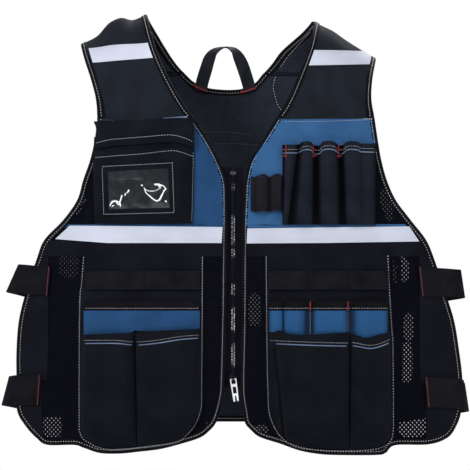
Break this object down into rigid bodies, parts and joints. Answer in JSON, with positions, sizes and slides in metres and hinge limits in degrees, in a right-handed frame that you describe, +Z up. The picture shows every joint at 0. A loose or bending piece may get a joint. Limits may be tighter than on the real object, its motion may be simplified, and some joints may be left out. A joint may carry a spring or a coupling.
{
  "type": "utility work vest",
  "caption": "Zipped mesh work vest with tool pockets, pen loops, a pass window, reflective tapes, side straps and a haul loop.",
  "frame": {"origin": "middle of the back neckline, on the inner face of the back, where the vest sits on the nape", "axes": "+Z up as worn, the front faces -Y, +X to the right as seen from the front"},
  "size_m": [0.682, 0.2473, 0.644],
  "materials": {
    "black_mesh": "open spacer mesh, matt",
    "black_cloth": "coated plain-weave cloth, matt",
    "blue_cloth": "coated plain-weave cloth, matt",
    "binding": "folded grosgrain binding, matt",
    "webbing": "woven webbing, matt",
    "elastic": "ribbed elastic, matt",
    "reflective": "retroreflective tape, satin",
    "vinyl": "clear vinyl over black cloth, glossy",
    "dark_metal": "dark plated, satin",
    "bright_metal": "bright plated",
    "pad_mesh": "padded spacer mesh, matt"
  },
  "bodies": {
    "vest": {"front_panel_left": "black_mesh", "front_panel_right": "black_mesh", "back_panel": "black_mesh", "waist_panel_left": "black_cloth", "waist_panel_right": "black_cloth", "side_panel_left": "black_cloth", "side_panel_right": "black_cloth", "yoke_left": "black_cloth", "yoke_right": "black_cloth", "chest_pocket_left": "black_cloth", "chest_flap_left": "black_cloth", "id_frame": "black_cloth", "tool_slot_1": "black_cloth", "tool_slot_2": "black_cloth", "tool_slot_3": "black_cloth", "tool_slot_4": "black_cloth", "lower_pocket_left_outer": "black_cloth", "lower_pocket_left_inner": "black_cloth", "lower_pocket_right_inner": "black_cloth", "lower_pocket_right_outer": "black_cloth", "chest_panel_left": "blue_cloth", "chest_panel_right": "blue_cloth", "small_pocket_left": "blue_cloth", "small_pocket_right_1": "blue_cloth", "small_pocket_right_2": "blue_cloth", "small_pocket_right_3": "blue_cloth", "front_binding_left": "binding", "front_binding_right": "binding", "back_binding": "binding", "back_neck_binding": "binding", "yoke_neck_binding_left": "binding", "yoke_neck_binding_right": "binding", "yoke_arm_binding_left": "binding", "yoke_arm_binding_right": "binding", "webbing_band_left": "webbing", "webbing_band_right": "webbing", "side_strap_upper_left": "webbing", "side_strap_lower_left": "webbing", "side_strap_upper_right": "webbing", "side_strap_lower_right": "webbing", "haul_handle": "webbing", "zip_tape_left": "webbing", "zip_tape_right": "webbing", "pen_loop_1": "elastic", "pen_loop_2": "elastic", "chest_tape_left": "reflective", "chest_tape_right": "reflective", "shoulder_tape_left": "reflective", "shoulder_tape_right": "reflective", "id_window": "vinyl", "zip_teeth_left": "dark_metal", "zip_teeth_right": "dark_metal", "zip_top_stop": "dark_metal", "zip_slider": "dark_metal", "shoulder_pad_left": "pad_mesh", "shoulder_pad_right": "pad_mesh"},
    "pull": {"zip_pull": "bright_metal"}
  },
  "joints": [
    {"name": "zip_pull_hinge", "type": "hinge", "parent": "vest", "child": "pull", "pos_m": [0.0045, -0.2154, -0.4217], "axis": [-0.9903, 0, -0.1392], "range_deg": [0, 150]}
  ]
}
